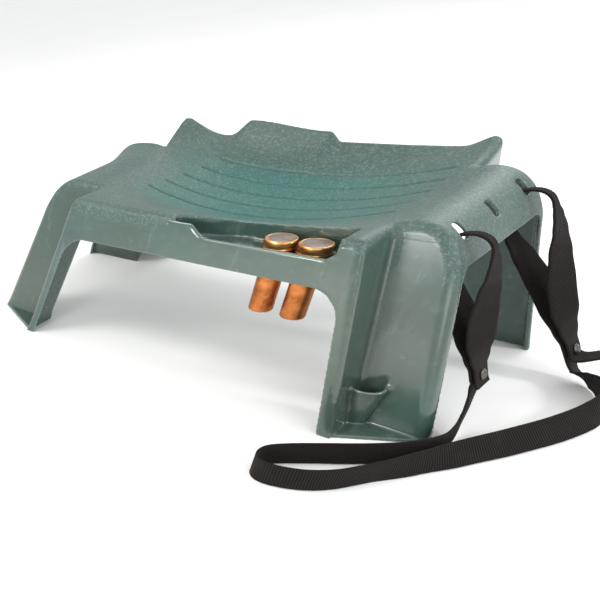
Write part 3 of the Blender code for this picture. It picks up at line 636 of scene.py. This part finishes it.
def webbing_material():
    n = Nodes("woven_webbing")
    uv = n.add("ShaderNodeUVMap", uv_map="run").outputs[0]
    pos = n.add("ShaderNodeTexCoord").outputs["Object"]
    sep = n.add("ShaderNodeSeparateXYZ", {"Vector": uv})
    u, v = sep.outputs[0], sep.outputs[1]          # millimetres across and along
    row = n.math('FLOOR', n.math('DIVIDE', v, 2.2))
    yarn = n.math('SINE', n.math('ADD', n.math('MULTIPLY', u, 2 * math.pi / 1.1),
                                 n.math('MULTIPLY', row, math.pi)))
    rib = n.math('SINE', n.math('MULTIPLY', v, 2 * math.pi / 2.2))
    ribn = n.math('MULTIPLY_ADD', rib, 0.5, 0.5)
    yarnn = n.math('MULTIPLY_ADD', yarn, 0.5, 0.5)
    fuzz = n.noise(1400.0, 3.0, 0.7, pos)
    dust = n.noise(55.0, 4.0, 0.6, pos)
    base = n.mix(ribn, lin(7, 6, 6), lin(30, 25, 24))
    base = n.mix(n.math('MULTIPLY', n.math('MULTIPLY', yarnn, ribn), 0.5), base,
                 lin(46, 39, 36))
    base = n.mix(n.math('MULTIPLY', n.ramp(fuzz, [(0.55, 0.0), (0.75, 1.0)]), 0.22), base,
                 lin(60, 52, 48))
    base = n.mix(n.math('MULTIPLY', n.ramp(dust, [(0.5, 0.0), (0.75, 1.0)]), 0.14), base,
                 lin(56, 49, 42))
    n.put(n.bsdf.inputs["Base Color"], base)
    n.put(n.bsdf.inputs["Roughness"], 0.85)
    n.put(n.bsdf.inputs["Specular IOR Level"], 0.12)
    n.put(n.bsdf.inputs["Sheen Weight"], 0.02)
    n.put(n.bsdf.inputs["Sheen Roughness"], 0.5)
    h = n.math('ADD', n.math('MULTIPLY', yarnn, 0.6), n.math('MULTIPLY', fuzz, 0.5))
    n.put(n.bsdf.inputs["Normal"], n.bump(h, 0.00022, 0.8))
    return n.mat


def floor_material():
    n = Nodes("pale_floor")
    pos = n.add("ShaderNodeTexCoord").outputs["Object"]
    a = n.noise(3.0, 4.0, 0.6, pos)
    n.put(n.bsdf.inputs["Base Color"], n.mix(a, lin(243, 243, 241), lin(236, 236, 234)))
    n.put(n.bsdf.inputs["Roughness"], 0.85)
    return n.mat


# ------------------------------------------------------------- turned pieces
def turned(name, profile, centre, mat, seg=96, axis=None, tweak=None):
    """Profile of (radius, height) from the lower axis point up to the upper one."""
    bm = bmesh.new()
    rings = []
    for r, h in profile:
        if r < 1e-9:
            rings.append([bm.verts.new((0, 0, h))])
        else:
            rings.append([bm.verts.new((r * math.cos(2 * math.pi * k / seg),
                                        r * math.sin(2 * math.pi * k / seg), h))
                          for k in range(seg)])
    for a, b in zip(rings, rings[1:]):
        for k in range(seg):
            p, q = k, (k + 1) % seg
            if len(a) == 1:
                bm.faces.new((a[0], b[q], b[p]))
            elif len(b) == 1:
                bm.faces.new((a[p], a[q], b[0]))
            else:
                bm.faces.new((a[p], a[q], b[q], b[p]))
    if tweak:
        for v in bm.verts:
            tweak(v)
    rot = Matrix.Identity(4)
    if axis is not None:
        rot = Vector((0, 0, 1)).rotation_difference(axis).to_matrix().to_4x4()
    ob = add_object(name, bm)
    ob.data.transform(rot)
    ob.location = centre
    ob.data.shade_smooth()
    ob.data.set_sharp_from_angle(angle=math.radians(50))
    ob.data.materials.append(mat)
    return ob


def round_profile(points, r, steps=5):
    """Rounds the inner corners of a profile with arcs of radius about r."""
    out = [points[0]]
    for a, b, c in zip(points, points[1:], points[2:]):
        va, vc = Vector(a) - Vector(b), Vector(c) - Vector(b)
        d = min(r, va.length * 0.45, vc.length * 0.45)
        p, q = Vector(b) + va.normalized() * d, Vector(b) + vc.normalized() * d
        for k in range(steps + 1):
            t = k / steps
            out.append(tuple(p * (1 - t) ** 2 + Vector(b) * 2 * t * (1 - t) + q * t * t))
    return out + [points[-1]]


def subdivide(points, step):
    out = []
    for a, b in zip(points, points[1:]):
        a, b = Vector(a), Vector(b)
        k = max(1, int((b - a).length / step))
        out += [tuple(a.lerp(b, j / k)) for j in range(k)]
    return out + [points[-1]]


# -------------------------------------------------------------------- strap
slot_p, _ = shoulder(SLOT_S)
slot_c = Vector(splay(slot_p.x, 0.0, slot_p.y))
edge_c = Vector(splay(X_END, 0.0, Z_PANEL))
down = (edge_c - slot_c).normalized()
slot_low = slot_c + down * (SLOT_DOWN / 2)
BAR = (slot_low + edge_c) / 2 - Vector((WALL / 2 * -down.z, 0, WALL / 2 * down.x))
BAR_H = (edge_c - slot_low).length / 2
LOOP_R = BAR_H + 0.0044
JOIN_F = Vector((0.2335, SLOT_Y[0], 0.0500))
JOIN_R = Vector((0.2640, SLOT_Y[2], 0.0320))
LAYER = 0.0015
W_FULL, W_SLOT = STRAP_W / 2, 0.0041
TWIST = math.radians(28)
RUN_K = (0.0, 0.06, 0.16, 0.30, 0.48, 0.66, 0.80, 0.90, 0.96)


def ramp1(a, b, v):
    return float(smooth(a, b, v))


def turned_about(d, n, phi):
    """Width direction and normal of the webbing, turned by phi about its run."""
    y = Vector((0.0, 1.0, 0.0))
    return y * math.cos(phi) + n * math.sin(phi), n * math.cos(phi) - y * math.sin(phi)


def loop_points(join):
    c = Vector((BAR.x, join.y, BAR.z))
    d = (join - c).normalized()
    n = Vector((-d.z, 0.0, d.x))
    y = Vector((0.0, 1.0, 0.0))
    out = []
    for k in RUN_K:
        w = W_FULL + (W_SLOT - W_FULL) * ramp1(0.84, 1.0, k)
        yk, nk = turned_about(d, n, TWIST * ramp1(0.04, 0.32, k) * (1 - ramp1(0.50, 0.90, k)))
        off = LAYER + (LOOP_R - LAYER) * ramp1(0.06, 1.02, k) ** 0.85
        out.append((join + (c - join) * k + nk * off, yk, w))
    a0 = math.atan2(n.z, n.x)
    turn = [(c + LOOP_R * Vector((math.cos(a0 + a), 0.0, math.sin(a0 + a))), y, W_SLOT)
            for a in [math.pi * k / 10 for k in range(11)]]
    inner = [((join + (c - join) * k) * 2 - p, yk, w) for (p, yk, w), k in zip(out, RUN_K)]
    return (out, turn, inner[::-1], d) + turned_about(d, n, 0.0)


def strap_keys():
    of_out, of_turn, of_in, df, yf, nf = loop_points(JOIN_F)
    or_out, or_turn, or_in, dr_, yr, nr = loop_points(JOIN_R)
    up = Vector((0.0, 0.0, 1.0))
    keys = []
    keys += [(JOIN_F + df * 0.0105 + nf * (LAYER + 0.0006), yf, W_FULL),
             (JOIN_F + df * 0.0060 + nf * LAYER, yf, W_FULL)]
    keys += of_out + of_turn + of_in
    keys += [(JOIN_F + df * 0.0060 - nf * LAYER, yf, W_FULL),
             (Vector((0.2352, -0.0622, 0.0385)), Vector((0, 0.97, -0.22)), W_FULL * 0.94),
             (Vector((0.2385, -0.0700, 0.0275)), Vector((0, 0.84, -0.54)), W_FULL * 0.82),
             (Vector((0.2420, -0.0850, 0.0180)), Vector((0, 0.62, -0.78)), W_FULL * 0.80),
             (Vector((0.2450, -0.1060, 0.0132)), Vector((0.08, 0.30, -0.95)), W_FULL * 0.90)]
    for x, y in ((0.2425, -0.1300), (0.2290, -0.1560), (0.2090, -0.1790), (0.1870, -0.2000),
                 (0.1680, -0.2190), (0.1580, -0.2330), (0.1575, -0.2460), (0.1650, -0.2540),
                 (0.1780, -0.2530), (0.1960, -0.2430), (0.2120, -0.2250), (0.2270, -0.1960)):
        keys.append((Vector((x, y, W_FULL + 0.0006)), -up, W_FULL))
    for x, y, z, w in ((0.2430, -0.1620, 0.0110, Vector((0.32, 0.12, -0.90))),
                       (0.2590, -0.1240, 0.0088, Vector((0.62, 0.20, -0.72))),
                       (0.2760, -0.0840, 0.0078, Vector((0.74, 0.26, -0.60))),
                       (0.2910, -0.0460, 0.0080, Vector((0.74, 0.20, -0.62))),
                       (0.3010, -0.0120, 0.0090, Vector((0.66, 0.00, -0.74))),
                       (0.3030, 0.0140, 0.0100, Vector((0.40, 0.05, -0.88))),
                       (0.2970, 0.0350, 0.0105, Vector((0.10, 0.30, -0.90))),
                       (0.2860, 0.0500, 0.0100, Vector((-0.10, 0.60, -0.55))),
                       (0.2740, 0.0585, 0.0130, Vector((-0.05, 0.95, -0.20)))):
        keys.append((Vector((x, y, z)), w, W_FULL * 0.97))
    keys += [(JOIN_R + dr_ * 0.0066 - nr * LAYER, yr, W_FULL)]
    keys += or_in[::-1]
    keys += or_turn[::-1]
    keys += or_out[::-1]
    keys += [(JOIN_R + dr_ * 0.0062 + nr * LAYER, yr, W_FULL),
             (JOIN_R + dr_ * 0.0092 + nr * 0.0068, yr, W_FULL),
             (JOIN_R + dr_ * 0.0080 + nr * 0.0200, yr, W_FULL)]
    return keys, nf, nr


def strap_path(keys, per=24):
    """Dense Catmull-Rom run through the keys, then resampled evenly."""
    pts = []
    m = len(keys)
    for i in range(m - 1):
        k0, k1, k2, k3 = (keys[max(i - 1, 0)], keys[i], keys[i + 1], keys[min(i + 2, m - 1)])
        for j in range(per):
            t = j / per
            p = 0.5 * ((2 * k1[0]) + (k2[0] - k0[0]) * t
                       + (2 * k0[0] - 5 * k1[0] + 4 * k2[0] - k3[0]) * t * t
                       + (3 * k1[0] - k0[0] - 3 * k2[0] + k3[0]) * t ** 3)
            s = t * t * (3 - 2 * t)
            pts.append((*p, *k1[1].lerp(k2[1], s).normalized(), k1[2] + (k2[2] - k1[2]) * s))
    pts.append((*keys[-1][0], *keys[-1][1].normalized(), keys[-1][2]))
    a = np.array(pts)
    ds = np.r_[0, np.cumsum(np.linalg.norm(np.diff(a[:, :3], axis=0), axis=1))]
    s = np.arange(0.0, ds[-1], 0.00044)
    return s, np.stack([np.interp(s, ds, a[:, k]) for k in range(7)], 1)


def build_strap(mat):
    keys, nf, nr = strap_keys()
    s, a = strap_path(keys)
    p, w, hw = a[:, :3], a[:, 3:6], a[:, 6]
    t = np.gradient(p, axis=0)
    t /= np.linalg.norm(t, axis=1)[:, None]
    w = w - t * (w * t).sum(1)[:, None]
    w /= np.linalg.norm(w, axis=1)[:, None]
    n = np.cross(t, w)
    low = p[:, 2] - np.abs(w[:, 2]) * hw - np.abs(n[:, 2]) * STRAP_T / 2
    p[:, 2] += np.maximum(0.0, 0.0003 - low)
    rib = 0.5 + 0.5 * np.cos(2 * np.pi * s / 0.0022)
    across = np.array([-1.0, -0.985, -0.93, -0.72, -0.4, 0.0, 0.4, 0.72, 0.93, 0.985, 1.0])
    thick = np.array([0.30, 0.62, 0.95, 0.92, 0.90, 0.90, 0.90, 0.92, 0.95, 0.62, 0.30])
    rngl = np.random.default_rng(5)
    wav = np.convolve(rngl.normal(size=len(s)), np.ones(60) / 60, 'same')
    wav = wav / np.abs(wav).max()
    verts, uvs = [], []
    half = STRAP_T / 2
    ring = [(c, th, 1) for c, th in zip(across, thick)] + \
           [(c, th, -1) for c, th in zip(across[::-1], thick[::-1])]
    m = len(ring)
    pts = np.empty((len(s), m, 3))
    uvm = np.empty((m,))
    fray = 1.0 - 0.012 * (0.5 + 0.5 * np.cos(2 * np.pi * s / 0.0022 + 0.6)) + 0.004 * wav
    for k, (c, th, sg) in enumerate(ring):
        ht = half * (th * 0.80 + 0.20 * rib * min(1.0, th * 1.1))
        pts[:, k] = p + w * (c * hw * fray)[:, None] + n * (sg * ht)[:, None]
        uvm[k] = (c + 1) * 12.0 if sg > 0 else 24.0 + (1 - c) * 12.0
    N = len(s)
    idx = np.arange(N * m).reshape(N, m)
    q = np.stack([idx[:-1], np.roll(idx, -1, 1)[:-1], np.roll(idx, -1, 1)[1:], idx[1:]], -1)
    faces = q.reshape(-1, 4)
    me = bpy.data.meshes.new("strap_ribbed_webbing")
    caps = [tuple(idx[0][::-1]), tuple(idx[-1])]
    me.from_pydata(pts.reshape(-1, 3).tolist(), [], faces.tolist() + [list(map(int, c)) for c in caps])
    me.validate()
    uvl = me.uv_layers.new(name="run")
    lv = np.empty(len(me.loops), np.int32)
    me.loops.foreach_get("vertex_index", lv)
    uu = np.stack([uvm[lv % m], (s * 1000)[lv // m]], 1).astype(np.float32)
    uvl.data.foreach_set("uv", uu.ravel())
    bm = bmesh.new()
    bm.from_mesh(me)
    bmesh.ops.recalc_face_normals(bm, faces=bm.faces)
    bm.to_mesh(me)
    bm.free()
    ob = bpy.data.objects.new("strap_ribbed_webbing", me)
    COL.objects.link(ob)
    me.shade_smooth()
    me.materials.append(mat)
    return ob, nf, nr


# ------------------------------------------------------------------ assemble
def settle(ob):
    """From the middle of the seat to the frame, with the place in the mesh."""
    bpy.context.view_layer.update()
    ob.data.transform(Matrix.Translation(MID) @ ob.matrix_world)
    ob.matrix_world = Matrix.Identity(4)
    return ob


def place(ob, body, *nodes, slot=None):
    settle(ob)
    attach(ob, body)
    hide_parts(*nodes)


seat = finish_seat(build_seat())
seat.data.materials.clear()
seat.data.materials.append(seat_material())
place(seat, "seat", "seat_body", slot="seat_green")

copper = metal_material("satin_copper", lin(205, 128, 72), lin(150, 84, 40),
                        lin(84, 48, 26), 0.26)
brass = metal_material("worn_brass", lin(232, 182, 120), lin(176, 116, 62),
                       lin(96, 60, 36), 0.20)
dull = metal_material("dull_face", lin(150, 142, 134), lin(112, 98, 90),
                      lin(84, 66, 56), 0.42, turned=False, metallic=0.55)
nickel = metal_material("dark_nickel", lin(120, 116, 112), lin(70, 66, 62),
                        lin(34, 32, 30), 0.30, turned=False)

for side, x in (("left", PEG_X[0]), ("right", PEG_X[1])):
    h, rc, r = PEG_CAP_H, PEG_CAP_R, PEG_R
    cap = round_profile(
        [(0.0, 0.0068), (0.0065, 0.0068), (0.0065, 0.0), (rc - 0.0008, 0.0), (rc, 0.0010),
         (rc, 0.0042), (rc - 0.0006, 0.0050), (rc - 0.0006, 0.0066), (rc, 0.0074),
         (rc, h - 0.0012), (rc - 0.0010, h), (rc - 0.0022, h),
         (rc - 0.0030, h - 0.0006), (0.0, h - 0.0004)], 0.0006)
    ob = turned("peg_%s_head" % side, cap, (x, PEG_Y, PEG_Z), brass)
    ob.data.materials.append(dull)
    for f in ob.data.polygons:
        c = f.center
        if c.z > h - 0.0009 and math.hypot(c.x, c.y) < rc - 0.0024:
            f.material_index = 1
    place(ob, "peg_" + side, "peg_%s_cap" % side, slot="peg_cap_brass")
    shank = subdivide(round_profile(
        [(0.0, -PEG_LEN + 0.0012), (r - 0.0034, -PEG_LEN + 0.0012),
         (r - 0.0026, -PEG_LEN), (r - 0.0008, -PEG_LEN), (r, -PEG_LEN + 0.0012),
         (r, -0.0016), (r - 0.0012, -0.0004), (0.0061, -0.0004), (0.0061, 0.0060),
         (0.0, 0.0060)], 0.0005), 0.0010)
    spot_a = math.radians(-60.0 if side == "left" else -20.0)
    spot_z = -0.043 if side == "left" else -0.051
    spot = Vector((r * math.cos(spot_a), r * math.sin(spot_a), spot_z))

    def dent(v, spot=spot, r=r):
        rad = math.hypot(v.co.x, v.co.y)
        if rad > r - 0.0004 and v.co.z > -PEG_LEN + 0.002:
            k = 0.00045 * math.exp(-((v.co - spot).length / 0.0016) ** 2)
            s = 1 - k / rad
            v.co.x *= s
            v.co.y *= s
    ob = turned("peg_%s_barrel" % side, shank, (x, PEG_Y, PEG_Z), copper, tweak=dent)
    place(ob, "peg_" + side, "peg_%s_shank" % side, slot="peg_copper")

strap, nf, nr = build_strap(webbing_material())
place(strap, "strap", "strap_webbing", slot="strap_webbing")
for tag, join, n in (("front", JOIN_F, nf), ("rear", JOIN_R, nr)):
    g = LAYER + STRAP_T / 2 + 0.0004
    prof = round_profile([(0.0, -g - 0.0014), (0.0040, -g - 0.0012), (0.0050, -g - 0.0003),
                          (0.0050, -g), (0.0020, -g), (0.0020, g), (0.0050, g),
                          (0.0050, g + 0.0004), (0.0040, g + 0.0012),
                          (0.0022, g + 0.0016), (0.0013, g + 0.0010), (0.0, g + 0.0009)],
                         0.0004)
    ob = turned("rivet_%s" % tag, prof, join, nickel, 48, n)
    place(ob, "strap", "strap_rivet_" + tag, slot="rivet_metal")

# ----------------------------------------------------- floor, light and camera
bpy.ops.mesh.primitive_plane_add(size=14.0, location=(0, 0, -0.0002))
floor = bpy.context.object
floor.name = "floor"
floor.data.materials.append(floor_material())

world = bpy.data.worlds.new("studio")
bpy.context.scene.world = world
world.use_nodes = True
bg = world.node_tree.nodes["Background"]
bg.inputs[0].default_value = (0.975, 0.985, 1.0, 1)
bg.inputs[1].default_value = 1.02


def area(name, loc, target, size, energy, colour=(1, 1, 1)):
    d = bpy.data.lights.new(name, 'AREA')
    d.shape, d.size, d.energy, d.color = 'DISK', size, energy, colour
    ob = bpy.data.objects.new(name, d)
    COL.objects.link(ob)
    ob.location = MID + Vector(loc)
    ob.rotation_mode = 'QUATERNION'
    ob.rotation_quaternion = (Vector(target) - Vector(loc)).to_track_quat('-Z', 'Y')
    return ob


area("key", (-0.7, -0.9, 1.7), (0, 0, 0.1), 0.7, 15.0, (1.0, 0.985, 0.96))
area("fill", (1.6, -1.0, 0.8), (0, 0, 0.1), 1.2, 9.0, (0.94, 0.97, 1.0))
area("back", (0.2, 1.6, 1.3), (0, 0, 0.15), 1.0, 12.0)
area("rim", (1.15, 0.25, 0.75), (0.15, -0.05, 0.10), 0.25, 5.0)
area("strip", (-0.10, -1.10, 0.35), (0.20, -0.10, 0.10), 0.30, 5.0)

cam_data = bpy.data.cameras.new("camera")
cam = bpy.data.objects.new("camera", cam_data)
COL.objects.link(cam)
bpy.context.scene.camera = cam
RIGHT = Vector((0.51649305, 0.83514032, -0.18914434))
UP = -Vector((0.42886948, -0.44347998, -0.78701746))
BACK = -Vector((-0.74115173, 0.32537081, -0.58722052))
FOCAL, PX, PY = 589.916, -210.186, 436.807
cam.matrix_world = (Matrix.Translation(MID + Vector((0.33091453, -0.77342612, 0.43343617)))
                    @ Matrix((RIGHT, UP, BACK)).transposed().to_4x4())
cam_data.sensor_width = 36.0
cam_data.lens = FOCAL / 600 * 36.0

# the off-axis shift of the lens belongs to this one standpoint: it fades out within
# 2 cm of it, so that the camera can be moved round the seat and still face it
stand = bpy.data.objects.new("standpoint", None)
COL.objects.link(stand)
stand.location = cam.matrix_world.translation
for path, value in (("shift_x", (300 - PX) / 600), ("shift_y", (PY - 300) / 600)):
    setattr(cam_data, path, value)
    curve = cam_data.driver_add(path)
    curve.driver.type = 'SUM'
    gap = curve.driver.variables.new()
    gap.type = 'LOC_DIFF'
    gap.targets[0].id, gap.targets[1].id = cam, stand
    for m in list(curve.modifiers):
        curve.modifiers.remove(m)
    curve.keyframe_points.add(2)
    for k, (x, y) in enumerate(((0.002, value), (0.020, 0.0))):
        curve.keyframe_points[k].co = (x, y)
        curve.keyframe_points[k].interpolation = 'LINEAR'
    curve.extrapolation = 'CONSTANT'
    curve.update()
cam_data.clip_start, cam_data.clip_end = 0.01, 50.0
bpy.context.scene.view_settings.view_transform = 'Standard'
